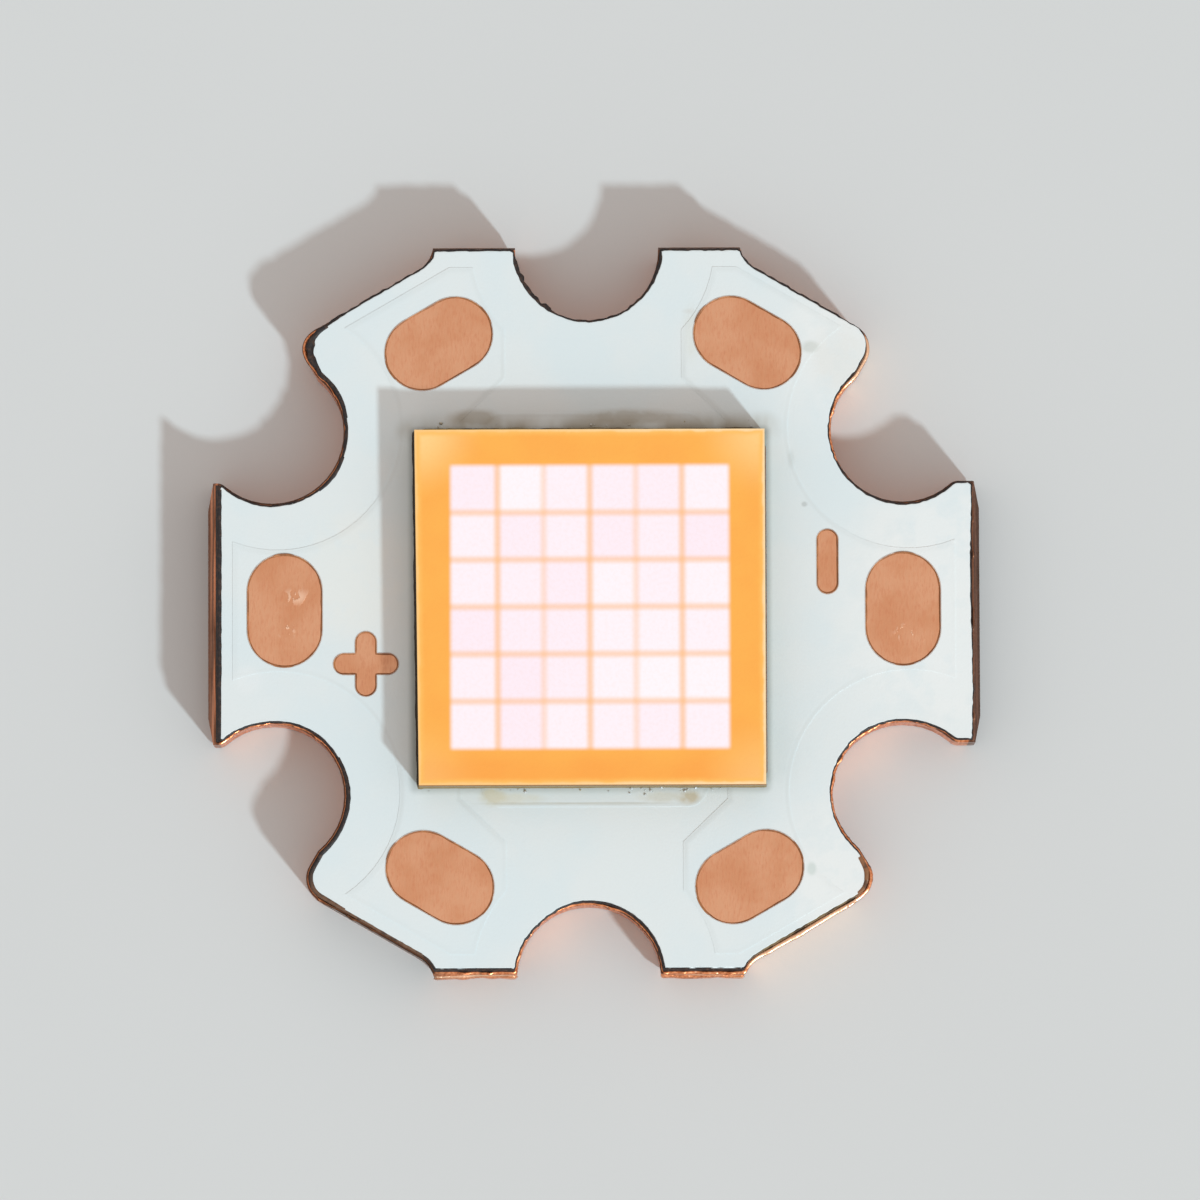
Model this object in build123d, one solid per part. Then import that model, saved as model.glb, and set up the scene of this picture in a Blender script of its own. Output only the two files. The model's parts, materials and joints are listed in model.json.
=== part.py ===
from build123d import *
import math
import os

# High-power LED package on a star-shaped copper board. Lengths are in millimetres, angles in degrees.
# The board lies flat with its lit side up. The origin is the middle of its underside, +X points to
# the minus side and +Y to the back.

# Board thicknesses
core_thickness = 1.43            # copper plate
dielectric_thickness = 0.12      # dark insulating layer
foil_thickness = 0.07            # etched copper foil
mask_over_foil = 0.03            # white coat on the foil
mask_over_dielectric = 0.06      # white coat where the foil is etched away

# Board outline
side_edge_distance = 20.0        # across the scored left and right edges
end_edge_distance = 18.92        # across the scored front and back edges
slope_edge_distance = 19.84      # across each pair of routed sloping edges
notch_radius = 1.86              # screw notches
notch_edge_distance = 1.745      # from a notch's middle to the sloping edge beside it
straight_mouth_shoulder = 0.535  # a notch's mouth towards a scored edge is this much narrower, each side
slope_mouth_shoulder = 0.12      # the same towards a sloping edge
straight_mouth_radius = 0.30     # rounded corner where a mouth to a scored edge leaves its notch
slope_mouth_radius = 0.65        # rounded corner where a mouth meets a sloping edge
slot_end_half_width = 3.98       # where the routed slots stop beside the front and back edges
slot_end_radius = 0.82           # round left by the slots' ends
routed_bevel = 0.06              # softened rims of the routed walls
dielectric_ledge = 0.06          # dielectric set back from the copper's routed wall
mask_ledge = 0.07                # white coat set back from the dielectric's routed wall
routing_shift_x = -0.16          # the routed outline sits off the printed pattern
routing_shift_y = -0.06

# Score lines along the four straight edges
groove_half_angle = 30.0
side_groove_depth = 0.54         # from the coat's surface, left and right edges
end_groove_depth = 0.36          # from the coat's surface, front and back edges
under_groove_depth = 0.42        # from the underside, all four edges
snapped_tip_length = 0.70        # broken tips of the horns, along the edge
snapped_tip_width = 0.14         # and across it

# Printed pattern
pad_length = 2.94                # six wire pads, along the edge beside them
pad_width = 1.95
pad_edge_distance = 0.945        # from a pad's outer side to the board's edge beside it
mark_length = 1.69               # plus and minus marks
mark_stroke = 0.56
plus_mark_place = (-5.90, -1.39)
minus_mark_place = (6.05, 1.23)
foil_edge_setback = 0.40         # foil kept back from the board's edges
screw_keep_out = 1.35            # foil kept back from the screw notches
middle_gap = 4.70                # between the two foils, away from the LED
slope_start = 0.33               # the foils' sloping edges start this far beyond the package
slope_rise = 1.12                # and end this much further out
land_gap = 0.65                  # between the foils and the thermal land
mask_side_cover = 0.06           # thickness of the coat on the foil's edges
mask_slope_drop = 0.03           # the coat's step over the foil's edges is a long slope, this deep
mask_slope_run = 0.15            # and this wide

# LED package
die_rows = 6
die_columns = 6
die_side = 1.09
die_pitch_x = 1.19
die_pitch_y = 1.22
package_border = 1.00            # from the outer dies to the package's sides
saw_taper = 0.10                 # the left side was sawn slightly out of square
package_shift = -0.10            # the LED sits a little left of the middle
ceramic_thickness = 0.50
plating_thickness = 0.05
electrode_height = 0.02
electrode_gap = 0.16             # between a die's two electrodes, and between the strips under them
electrode_inset = 0.05           # electrodes kept back from the die's sides
die_thickness = 0.13
phosphor_over_dies = 0.17
plating_inset = 0.20             # top plating kept back from the package's sides
via_radius = 0.12
via_count = 3
via_pitch = 2.80

# Package pads and solder
package_pad_inset = 0.15         # pads kept back from the package's left and right sides
package_pad_end_inset = 0.40     # and from its front and back sides
electrode_pad_width = 0.70
package_pad_gap = 0.90
package_pad_corner = 0.10
land_margin = 0.10               # mask openings are this much larger than the package pads
solder_clearance = 0.02          # between the solder and the opening's wall
solder_height = 0.05             # standing above the coat
pedestal_overhang = 0.45         # thermal land beyond the package's front and back sides
pedestal_corner_radius = 0.45

# Heights above the underside
dielectric_top = core_thickness + dielectric_thickness
foil_top = dielectric_top + foil_thickness
coat_low = dielectric_top + mask_over_dielectric
coat_high = foil_top + mask_over_foil
solder_top = coat_high + solder_height
ceramic_bottom = solder_top + plating_thickness
ceramic_top = ceramic_bottom + ceramic_thickness
strip_top = ceramic_top + plating_thickness
die_bottom = strip_top + electrode_height
die_top = die_bottom + die_thickness
package_top = die_top + phosphor_over_dies

# Directions from the middle of the star
notch_angles = (30, 90, 150, 210, 270, 330)
side_notch_angles = (30, 150, 210, 330)
pad_angles = (0, 60, 120, 180, 240, 300)
mouth_turn = 30                  # each side notch opens this far to both sides of its own direction
slope_angle = 60                 # direction of the first sloping edge

# Places worked out from the sizes
side_reach = side_edge_distance / 2
end_reach = end_edge_distance / 2
notch_line = slope_edge_distance / 2 - notch_edge_distance
notch_circle_radius = notch_line / math.cos(math.radians(mouth_turn))
pad_circle_radius = slope_edge_distance / 2 - pad_edge_distance - pad_width / 2
array_width = (die_columns - 1) * die_pitch_x + die_side
array_length = (die_rows - 1) * die_pitch_y + die_side
package_width = array_width + 2 * package_border
package_length = array_length + 2 * package_border
pad_outer_x = package_width / 2 - package_pad_inset
pad_inner_x = pad_outer_x - electrode_pad_width
side_pad_x = (pad_outer_x + pad_inner_x) / 2
package_pad_length = package_length - 2 * package_pad_end_inset
thermal_pad_width = 2 * (pad_inner_x - package_pad_gap)
foil_inner_x = pad_inner_x - land_margin - mask_side_cover
pedestal_width = 2 * (foil_inner_x - land_gap)
pedestal_length = package_length + 2 * pedestal_overhang
far = 2 * (side_edge_distance + end_edge_distance)


def on_circle(radius, angle):
    """Point at this distance from the middle, in this direction."""
    turn = math.radians(angle)
    return Vector(radius * math.cos(turn), radius * math.sin(turn))


def lift(shape, height):
    """The same shape, raised to this height."""
    return Pos(0, 0, height) * shape


def mouth_half_width(direction, inset):
    """Half the width of the mouth through which a notch opens in this direction."""
    shoulder = slope_mouth_shoulder if direction % 180 else straight_mouth_shoulder
    return notch_radius - shoulder + inset


def routed_corners(inset):
    """Corners of the routed outline that are rounded: at straight mouths, sloping mouths, slot ends."""
    reach = slope_edge_distance / 2 - inset
    straight, sloping = [], []
    for angle in side_notch_angles:
        middle = on_circle(notch_circle_radius, angle)
        for side in (-1, 1):
            direction = angle + side * mouth_turn
            half_mouth = mouth_half_width(direction, inset)
            wall = middle + on_circle(half_mouth, direction + side * 90)
            if direction % 180:
                run = reach - middle.dot(on_circle(1, direction))
                sloping.append(wall + on_circle(run, direction))
            else:
                depth = math.sqrt((notch_radius + inset)**2 - half_mouth**2)
                straight.append(wall + on_circle(depth, direction))
    x = slot_end_half_width - inset
    slope = on_circle(1, slope_angle)
    y = (reach - x * slope.X) / slope.Y
    slot_ends = [Vector(x, y), Vector(-x, y), Vector(-x, -y), Vector(x, -y)]
    return straight, sloping, slot_ends


def round_off(outline, corners, radius):
    """The outline with these corners rounded."""
    return fillet([outline.vertices().sort_by_distance(corner)[0] for corner in corners], radius)


def sloping_edges(reach):
    """Everything inside the four sloping edges, each this far from the middle."""
    slope = on_circle(1, slope_angle)
    x = reach / slope.X
    y = reach / slope.Y
    return Polygon((x, 0), (0, y), (-x, 0), (0, -y))


def routed_outline(inset):
    """Outline that the router left: four sloping edges and six notches, pulled in by inset."""
    outline = sloping_edges(slope_edge_distance / 2 - inset)
    outline += Rectangle(2 * (slot_end_half_width - inset), 2 * end_edge_distance)
    for angle in notch_angles:
        outline -= Pos(*on_circle(notch_circle_radius, angle)) * Circle(notch_radius + inset)
    for angle in side_notch_angles:
        for direction in (angle - mouth_turn, angle + mouth_turn):
            width = 2 * mouth_half_width(direction, inset)
            mouth = Rectangle(far, width, align=(Align.MIN, Align.CENTER))
            outline -= Pos(*on_circle(notch_circle_radius, angle)) * Rot(0, 0, direction) * mouth
    straight, sloping, slot_ends = routed_corners(inset)
    outline = round_off(outline, straight, straight_mouth_radius - inset)
    outline = round_off(outline, sloping, slope_mouth_radius - inset)
    outline = round_off(outline, slot_ends, slot_end_radius + inset)
    return Pos(routing_shift_x, routing_shift_y) * outline


def score_profile(reach, groove_depth):
    """Upright section between two scored edges, with a groove from above and one from below."""
    lean = math.tan(math.radians(groove_half_angle))
    web_top = coat_low - groove_depth
    above = 2 * package_top
    right = [
        (reach - under_groove_depth * lean, 0),
        (reach, under_groove_depth),
        (reach, web_top),
        (reach - (above - web_top) * lean, above),
    ]
    left = [(-x, z) for x, z in reversed(right)]
    return Polygon(*right, *left)


def scored_block():
    """Block that holds everything inside the four scored edges."""
    sides = extrude(Plane.XZ * score_profile(side_reach, side_groove_depth), far, both=True)
    ends = extrude(Plane.YZ * score_profile(end_reach, end_groove_depth), far, both=True)
    return sides & ends


def snapped_tips():
    """Wedges that broke off the four horns' tips on the left and right edges."""
    wedges = Part()
    for angle in side_notch_angles:
        notch = on_circle(notch_circle_radius, angle)
        x_sign = math.copysign(1, notch.X)
        y_sign = math.copysign(1, notch.Y)
        edge = x_sign * side_reach
        inside = edge - x_sign * snapped_tip_width
        outside = edge + x_sign * snapped_tip_width
        tip = notch.Y - y_sign * mouth_half_width(0, 0) + routing_shift_y
        start = tip - y_sign * snapped_tip_length
        end = tip + y_sign * notch_radius
        corners = [(edge, start), (outside, start), (outside, end), (inside, end), (inside, tip)]
        wedges += extrude(make_face(Polyline(*corners, close=True)), core_thickness)
    return wedges


def pedestal_outline(grow=0):
    """Thermal land under the LED, seen from above and grown by this much."""
    width = pedestal_width + 2 * grow
    length = pedestal_length + 2 * grow
    return RectangleRounded(width, length, pedestal_corner_radius + grow)


def foil_outline(side, grow=0):
    """Foil of the left side (-1) or the right side (1), seen from above and grown by this much."""
    slope_run = foil_inner_x - middle_gap / 2
    slope_turn = math.atan2(slope_run, slope_rise)
    inner_x = foil_inner_x - grow
    straight_x = middle_gap / 2 - grow
    slope_low = package_length / 2 + slope_start - grow * math.tan(slope_turn / 2)
    inner_edge = [
        (inner_x, 0),
        (inner_x, slope_low),
        (straight_x, slope_low + slope_rise),
        (straight_x, end_reach),
    ]
    half = inner_edge + [(side_reach, end_reach), (side_reach, 0)]
    region = make_face(Polyline(*[(side * x, y) for x, y in half], close=True))
    region += mirror(region, Plane.XZ)
    keep_out = Circle(notch_radius + screw_keep_out - grow)
    for angle in notch_angles:
        region -= Pos(*on_circle(notch_circle_radius, angle)) * keep_out
    lean = math.tan(math.radians(groove_half_angle))
    setback = foil_edge_setback - grow
    inside_x = side_reach - side_groove_depth * lean - setback
    inside_y = end_reach - end_groove_depth * lean - setback
    region &= Rectangle(2 * inside_x, 2 * inside_y)
    return region & sloping_edges(slope_edge_distance / 2 - setback)


def wire_pads():
    """The six bare wire pads, one beside each edge of the star."""
    pads = Sketch()
    for angle in pad_angles:
        pad = Rot(0, 0, angle + 90) * SlotOverall(pad_length, pad_width)
        pads += Pos(*on_circle(pad_circle_radius, angle)) * pad
    return pads


def polarity_marks():
    """Bare plus mark on the left and minus mark, an upright bar, on the right."""
    bar = SlotOverall(mark_length, mark_stroke)
    upright_bar = Rot(0, 0, 90) * bar
    return Pos(*plus_mark_place) * (bar + upright_bar) + Pos(*minus_mark_place) * upright_bar


def package_pads(margin, shift):
    """Outlines of the left, middle and right pads under the package, grown by margin."""
    length = package_pad_length + 2 * margin
    side_pad = RectangleRounded(electrode_pad_width + 2 * margin, length, package_pad_corner)
    middle_pad = RectangleRounded(thermal_pad_width + 2 * margin, length, package_pad_corner)
    left_pad = Pos(shift - side_pad_x, 0) * side_pad
    right_pad = Pos(shift + side_pad_x, 0) * side_pad
    return left_pad, Pos(shift, 0) * middle_pad, right_pad


def package_outline():
    """The package seen from above, with its left side sawn out of square."""
    x = package_width / 2
    y = package_length / 2
    corners = [(x, -y), (x, y), (-x, y), (-x + saw_taper, -y)]
    return Pos(package_shift, 0) * Polygon(*corners)


def die_place(row, column):
    """Middle of a die. Row 1 is at the back, column 1 on the left."""
    x = package_shift + (column - (die_columns + 1) / 2) * die_pitch_x
    y = ((die_rows + 1) / 2 - row) * die_pitch_y
    return x, y


def make_core(block):
    """Copper plate with its softened routed rims, scored edges, broken tips and pedestal."""
    plate = extrude(routed_outline(0), core_thickness)
    rims = plate.edges().group_by(Axis.Z)
    plate = chamfer(rims[0] + rims[-1], routed_bevel)
    plate = plate & block
    plate -= snapped_tips()
    pedestal = extrude(pedestal_outline(), foil_top - core_thickness)
    return plate + lift(pedestal, core_thickness)


def make_dielectric(block):
    """Insulating layer with a window for the pedestal."""
    sheet = extrude(routed_outline(dielectric_ledge) - pedestal_outline(), dielectric_thickness)
    return lift(sheet, core_thickness) & block


def make_foil(side):
    """Foil of one side."""
    return lift(extrude(foil_outline(side), foil_thickness), dielectric_top)


def coat_step(outline):
    """The coat's raised patch over a piece of foil or the land, with a softened step round it."""
    patch = extrude(outline, coat_high - dielectric_top)
    top = patch.faces().sort_by(Axis.Z)[-1]
    sloped = chamfer(top.edges(), mask_slope_run, mask_slope_drop, reference=top)
    return lift(sloped, dielectric_top)


def make_mask(block, foils):
    """White coat that follows the foil and leaves the pads, marks and lands bare."""
    sheet = extrude(routed_outline(dielectric_ledge + mask_ledge), mask_over_dielectric)
    coat = lift(sheet, dielectric_top) + coat_step(pedestal_outline(mask_side_cover))
    for side in (-1, 1):
        coat += coat_step(foil_outline(side, mask_side_cover))
    coat = coat & block
    openings = wire_pads() + polarity_marks()
    for land in package_pads(land_margin, 0):
        openings += land
    coat -= lift(extrude(openings, package_top), dielectric_top)
    coat -= lift(extrude(pedestal_outline(), foil_thickness), dielectric_top)
    for foil in foils:
        coat -= foil
    return coat


def make_solder():
    """Three joints that fill the openings in the coat and reach up to the package's pads."""
    joints = []
    lands = package_pads(land_margin - solder_clearance, 0)
    pads = package_pads(0, package_shift)
    for land, pad in zip(lands, pads):
        foot = lift(extrude(land, coat_high - foil_top), foil_top)
        neck = loft([lift(land, coat_high), lift(pad, solder_top)])
        joints.append(foot + neck)
    return joints


def strip_edges():
    """Left and right end of each plated strip, under the gaps between the dies' electrodes."""
    outer = package_width / 2 - plating_inset
    gaps = [die_place(1, column)[0] for column in range(1, die_columns + 1)]
    starts = [package_shift - outer + saw_taper] + [x + electrode_gap / 2 for x in gaps]
    ends = [x - electrode_gap / 2 for x in gaps] + [package_shift + outer]
    return list(zip(starts, ends))


def make_strip(left, right):
    """One plated strip on top of the ceramic."""
    outline = Rectangle(right - left, package_length - 2 * plating_inset)
    return lift(extrude(Pos((left + right) / 2, 0) * outline, plating_thickness), ceramic_top)


def via_places(side):
    """Middles of the vias of the left (-1) or right (1) side."""
    x = package_shift + side * side_pad_x
    return [(x, (i - (via_count - 1) / 2) * via_pitch) for i in range(via_count)]


def make_vias(side):
    """Plated posts through the ceramic."""
    posts = Sketch() + [Pos(x, y) * Circle(via_radius) for x, y in via_places(side)]
    return lift(extrude(posts, ceramic_thickness), ceramic_bottom)


def make_pad(pad):
    """One plated pad under the ceramic."""
    return lift(extrude(pad, plating_thickness), solder_top)


def make_ceramic():
    """Ceramic plate with its via holes."""
    holes = Sketch()
    for side in (-1, 1):
        holes += [Pos(x, y) * Circle(via_radius) for x, y in via_places(side)]
    return lift(extrude(package_outline() - holes, ceramic_thickness), ceramic_bottom)


def make_die(row, column):
    """One flip-chip die with its two electrodes."""
    width = (die_side - electrode_gap) / 2 - electrode_inset
    length = die_side - 2 * electrode_inset
    electrode = Rectangle(width, length)
    place = (electrode_gap + width) / 2
    electrodes = Pos(-place, 0) * electrode + Pos(place, 0) * electrode
    body = extrude(Rectangle(die_side, die_side), die_thickness)
    die = extrude(electrodes, electrode_height) + lift(body, electrode_height)
    x, y = die_place(row, column)
    return Pos(x, y, strip_top) * die


def make_phosphor(strips):
    """Phosphor film, moulded over the strips and round each die."""
    film = lift(extrude(package_outline(), package_top - ceramic_top), ceramic_top)
    pockets = Sketch()
    for row in range(1, die_rows + 1):
        for column in range(1, die_columns + 1):
            pockets += Pos(*die_place(row, column)) * Rectangle(die_side, die_side)
    film -= lift(extrude(pockets, die_top - ceramic_top), ceramic_top)
    for strip in strips:
        film -= strip
    return film


def make_all():
    """Every piece of the LED and its board, by name."""
    block = scored_block()
    anode_foil, cathode_foil = make_foil(-1), make_foil(1)
    strips = [make_strip(left, right) for left, right in strip_edges()]
    left_pad, middle_pad, right_pad = [make_pad(pad) for pad in package_pads(0, package_shift)]
    anode_solder, thermal_solder, cathode_solder = make_solder()
    pieces = {
        "copper_core": make_core(block),
        "dielectric_layer": make_dielectric(block),
        "anode_foil": anode_foil,
        "cathode_foil": cathode_foil,
        "solder_mask": make_mask(block, (anode_foil, cathode_foil)),
        "anode_solder": anode_solder,
        "thermal_solder": thermal_solder,
        "cathode_solder": cathode_solder,
        "anode_plating": strips[0] + make_vias(-1) + left_pad,
        "cathode_plating": strips[-1] + make_vias(1) + right_pad,
        "thermal_pad": middle_pad,
        "ceramic_substrate": make_ceramic(),
        "phosphor_layer": make_phosphor(strips),
    }
    for number, strip in enumerate(strips[1:-1], start=1):
        pieces[f"link_strip_{number}"] = strip
    for row in range(1, die_rows + 1):
        for column in range(1, die_columns + 1):
            pieces[f"die_r{row}_c{column}"] = make_die(row, column)
    return pieces


os.makedirs("parts", exist_ok=True)
for name, piece in make_all().items():
    export_step(piece, f"parts/{name}.step")
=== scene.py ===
import json
import math
import bpy
import numpy as np
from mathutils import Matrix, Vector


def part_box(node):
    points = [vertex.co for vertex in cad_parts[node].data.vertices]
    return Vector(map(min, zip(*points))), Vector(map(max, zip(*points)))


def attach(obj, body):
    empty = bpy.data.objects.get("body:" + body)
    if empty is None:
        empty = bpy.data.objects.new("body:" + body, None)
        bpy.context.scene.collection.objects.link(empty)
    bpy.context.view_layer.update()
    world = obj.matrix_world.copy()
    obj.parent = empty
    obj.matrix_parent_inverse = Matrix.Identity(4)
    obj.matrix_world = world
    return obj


# A lit high-power LED on its star board. The CAD model is the frame; this script gives it its finishes,
# the leavings of routing and soldering, the floor, the light and the camera. Lengths are in millimetres,
# and the angles of the light and the camera in degrees, up to the point where Blender takes them.
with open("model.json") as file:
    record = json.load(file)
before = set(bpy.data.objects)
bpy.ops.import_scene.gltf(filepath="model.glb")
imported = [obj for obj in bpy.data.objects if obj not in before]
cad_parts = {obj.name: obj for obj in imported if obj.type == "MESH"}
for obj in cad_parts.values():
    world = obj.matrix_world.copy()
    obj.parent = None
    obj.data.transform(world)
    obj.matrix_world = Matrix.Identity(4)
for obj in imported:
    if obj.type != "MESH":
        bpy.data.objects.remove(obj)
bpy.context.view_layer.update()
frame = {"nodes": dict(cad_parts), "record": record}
nodes = frame["nodes"]
mm = 0.001
packageLow, packageHigh = [np.array(corner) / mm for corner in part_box("phosphor_layer")]
print("frame loaded:", len(nodes), "nodes")


def tint(colour):
    # a colour as a screen shows it, 0 to 255, turned into the linear values that shaders use
    share = np.array(colour) / 255
    linear = np.where(share <= 0.04045, share / 12.92, ((share + 0.055) / 1.055) ** 2.4)
    return (*linear.tolist(), 1.0)


def feed(tree, socket, value):
    # a socket takes a plain value, or a link from another node's output
    if isinstance(value, bpy.types.NodeSocket):
        tree.links.new(value, socket)
    else:
        socket.default_value = value


def addNode(tree, kind, inputs=None, **settings):
    node = tree.nodes.new(kind)
    for key, value in settings.items():
        setattr(node, key, value)
    for key, value in (inputs or {}).items():
        feed(tree, node.inputs[key], value)
    return node


class Finish:
    # one Principled material, with short words for the nodes that feed it; places are in millimetres
    def __init__(self, name):
        self.material = bpy.data.materials.new(name)
        self.material.use_nodes = True
        self.tree = self.material.node_tree
        self.shader = self.tree.nodes["Principled BSDF"]
        coordinates = self.add("ShaderNodeTexCoord").outputs["Object"]
        self.place = self.add("ShaderNodeMapping", {"Vector": coordinates, "Scale": (1 / mm,) * 3}).outputs[0]
        self.x, self.y, self.z = self.split(self.place)

    def add(self, kind, inputs=None, **settings):
        return addNode(self.tree, kind, inputs, **settings)

    def split(self, vector):
        return self.add("ShaderNodeSeparateXYZ", {"Vector": vector}).outputs

    def facing(self):
        # the direction that the surface faces
        return self.add("ShaderNodeNewGeometry").outputs["Normal"]

    def maths(self, operation, *values):
        return self.add("ShaderNodeMath", dict(enumerate(values)), operation=operation).outputs[0]

    def times(self, first, *others):
        for other in others:
            first = self.maths("MULTIPLY", first, other)
        return first

    def noise(self, scale, detail=3.0, stretch=(1, 1, 1)):
        # clouds with this many lumps to the millimetre, along each axis times stretch
        place = self.add("ShaderNodeMapping", {"Vector": self.place, "Scale": stretch}).outputs[0]
        clouds = self.add("ShaderNodeTexNoise", {"Vector": place, "Scale": scale, "Detail": detail})
        return clouds.outputs["Fac"]

    def rise(self, value, start, end, low=0.0, high=1.0):
        # low before start, high after end, and smooth between them
        inputs = {"Value": value, "From Min": start, "From Max": end, "To Min": low, "To Max": high}
        return self.add("ShaderNodeMapRange", inputs, interpolation_type="SMOOTHSTEP").outputs[0]

    def spot(self, middle, reach):
        # 1 in the middle of an upright oval column, 0 outside it
        scale = (1 / reach[0], 1 / reach[1], 0)
        shift = (-middle[0] / reach[0], -middle[1] / reach[1], 0)
        near = self.add("ShaderNodeMapping", {"Vector": self.place, "Scale": scale, "Location": shift})
        length = self.add("ShaderNodeVectorMath", {0: near.outputs[0]}, operation="LENGTH").outputs["Value"]
        return self.rise(length, 1.0, 0.0)

    def fromPackage(self):
        # distance from the LED's sides as seen from above, 0 under it
        away = []
        for position, low, high in zip((self.x, self.y), packageLow, packageHigh):
            centred = self.maths("ABSOLUTE", self.maths("SUBTRACT", position, (low + high) / 2))
            away.append(self.maths("MAXIMUM", self.maths("SUBTRACT", centred, (high - low) / 2), 0.0))
        flat = self.add("ShaderNodeCombineXYZ", {"X": away[0], "Y": away[1]}).outputs[0]
        return self.add("ShaderNodeVectorMath", {0: flat}, operation="LENGTH").outputs["Value"]

    def blend(self, share, first, second):
        # sockets 6 and 7 of the Mix node are its two colours, and output 2 is the mixed one
        return self.add("ShaderNodeMix", {0: share, 6: first, 7: second}, data_type="RGBA").outputs[2]

    def bump(self, height, depth, **more):
        # depth is how far the surface goes for a height that goes from 0 to 1
        node = self.add("ShaderNodeBump", {"Height": height, "Distance": depth * mm, **more})
        self.set(Normal=node.outputs[0])

    def set(self, **values):
        for key, value in values.items():
            feed(self.tree, self.shader.inputs[key.replace("_", " ")], value)

    def wear(self, *names):
        # gives the finish to these CAD nodes
        for name in names:
            slots = nodes[name].data.materials
            slots.clear()
            slots.append(self.material)


# White coat: faintly clouded, with flux stains, grey smudges, rubbed pale patches and painted shade round the
# LED's foot
coatLook = {
    "colour": (221, 231, 233), "cool": (216, 229, 232), "warm": (226, 231, 230),
    "cloudsPerMm": 0.45, "grainPerMm": 16, "grainDepth": 0.003, "smoothest": 0.50, "roughest": 0.62,
    # the relief shows plainly up to the first distance from the LED, and faintly past the second
    "reliefNear": 1.6, "reliefFar": 2.6, "softenNear": 4.5, "softenFar": 11.0,
    # the coat is thinner, so darker, on the slopes between these two heights
    "slopeLow": 1.615, "slopeHigh": 1.649, "thin": (196, 202, 200), "thinShare": 0.24, "thinShareFar": 0.10,
    # each stain: middle, reach, colour, strength; the broad ones come first
    "stains": [
        ((7.30, -7.20), (3.60, 3.80), (237, 239, 237), 0.60),
        ((9.40, 0.00), (4.40, 5.20), (237, 239, 237), 0.60),
        ((7.30, 7.00), (3.40, 3.60), (237, 239, 237), 0.55),
        ((-6.20, 0.90), (2.00, 2.50), (232, 233, 227), 0.50),
        ((-2.62, -4.84), (0.50, 0.34), (206, 196, 156), 0.55),
        ((-1.95, -4.90), (0.90, 0.22), (216, 214, 194), 0.50),
        ((2.42, -4.86), (0.42, 0.26), (188, 172, 134), 0.70),
        ((1.70, -4.86), (0.80, 0.20), (208, 207, 192), 0.55),
        ((5.62, 6.82), (0.34, 0.22), (190, 196, 188), 0.50),
        ((2.50, 7.76), (0.26, 0.10), (204, 202, 196), 0.50),
        ((5.12, 3.90), (0.14, 0.34), (190, 198, 196), 0.35),
        ((5.46, 2.72), (0.12, 0.10), (160, 166, 164), 0.45),
        ((9.05, -1.60), (0.60, 0.70), (234, 237, 236), 0.35),
        ((-8.95, -1.80), (0.50, 0.50), (234, 237, 237), 0.35),
        ((5.60, -6.73), (0.18, 0.24), (192, 206, 200), 0.50),
        ((2.55, 7.20), (0.35, 1.00), (214, 216, 206), 0.35),
        ((6.40, 6.50), (1.00, 1.30), (223, 224, 219), 0.45),
        ((4.95, -3.70), (0.50, 1.20), (214, 226, 228), 0.50),
        ((-1.60, -5.02), (1.90, 0.05), (186, 184, 168), 0.40),
        ((0.45, -5.02), (1.90, 0.05), (186, 184, 168), 0.40),
        # brown flux behind the LED, also darkening its cast shadow there as painted shade
        ((-3.05, 4.98), (0.90, 0.32), (150, 134, 104), 0.45),
        ((0.90, 5.00), (1.70, 0.30), (150, 134, 104), 0.40),
    ],
    # painted contact shade close round the LED, less of it in front, and the wider brown film of flux behind,
    # which also stands in for the shade there
    "contactShade": (112, 116, 106), "contactShadeReach": 0.24, "contactShadeInFront": 0.35, "contactShadeElsewhere": 0.65,
    "fluxFilmAndShade": (150, 134, 104), "fluxAndShadeReach": 0.65, "fluxAndShadeShare": 0.75,
}
coat = Finish("whiteCoat")
clouds = coat.rise(coat.noise(coatLook["cloudsPerMm"], 4), 0.35, 0.65)
coatColour = coat.blend(clouds, tint(coatLook["cool"]), tint(coatLook["warm"]))
coatColour = coat.blend(0.5, tint(coatLook["colour"]), coatColour)
fromPackage = coat.fromPackage()
reliefNear, reliefFar = coatLook["reliefNear"], coatLook["reliefFar"]
slopeMiddle = (coatLook["slopeLow"] + coatLook["slopeHigh"]) / 2
onSlope = coat.times(coat.rise(coat.z, coatLook["slopeLow"], slopeMiddle),
                     coat.rise(coat.z, coatLook["slopeHigh"], slopeMiddle))
thinShare = coat.rise(fromPackage, reliefNear, reliefFar, coatLook["thinShare"], coatLook["thinShareFar"])
patchy = coat.rise(coat.noise(0.35, 2), 0.38, 0.60, 0.5, 1.0)
coatColour = coat.blend(coat.times(onSlope, thinShare, patchy), coatColour, tint(coatLook["thin"]))
# brown flux film behind the LED, deepening towards it, partly painted shade in the LED's cast shadow
fluxAndShadeShare = coat.times(coat.rise(fromPackage, coatLook["fluxAndShadeReach"], 0.05, 0.0, coatLook["fluxAndShadeShare"]),
                       coat.rise(coat.y, packageHigh[1] - 0.3, packageHigh[1] + 0.1),
                       coat.rise(coat.noise(0.9, 3, (1, 0.5, 1)), 0.35, 0.6, 0.25, 1.0))
coatColour = coat.blend(fluxAndShadeShare, coatColour, tint(coatLook["fluxFilmAndShade"]))
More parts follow.
